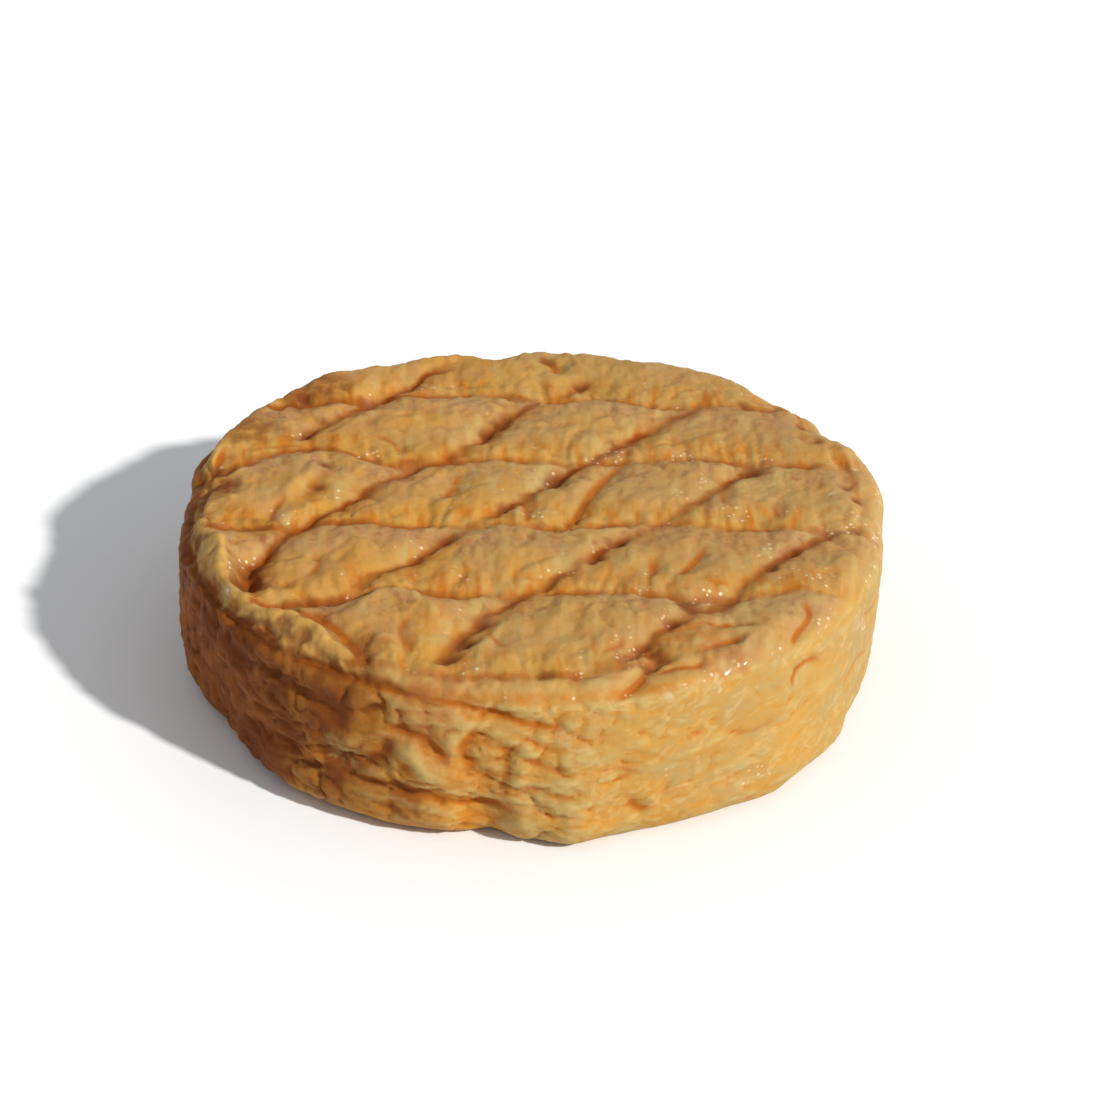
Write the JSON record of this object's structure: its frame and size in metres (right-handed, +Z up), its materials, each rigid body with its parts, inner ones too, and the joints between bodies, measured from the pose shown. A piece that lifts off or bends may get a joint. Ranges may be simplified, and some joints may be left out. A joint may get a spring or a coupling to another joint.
{
  "type": "epoisses cheese",
  "caption": "Whole soft washed-rind cheese: a low round wheel with a wrinkled orange rind and a lattice pressed into its top.",
  "frame": {"origin": "middle of the wheel's outline in plan, on the plane of the flat face it rests on", "axes": "+Z up through the marked top face; +X to the right and +Y away from a viewer in front of the wheel"},
  "size_m": [0.1116, 0.1104, 0.03],
  "materials": {
    "rind": "moist, wrinkled, ochre to orange-brown cheese rind with a slight gloss"
  },
  "bodies": {
    "root": {"cheese": "rind"}
  },
  "joints": []
}
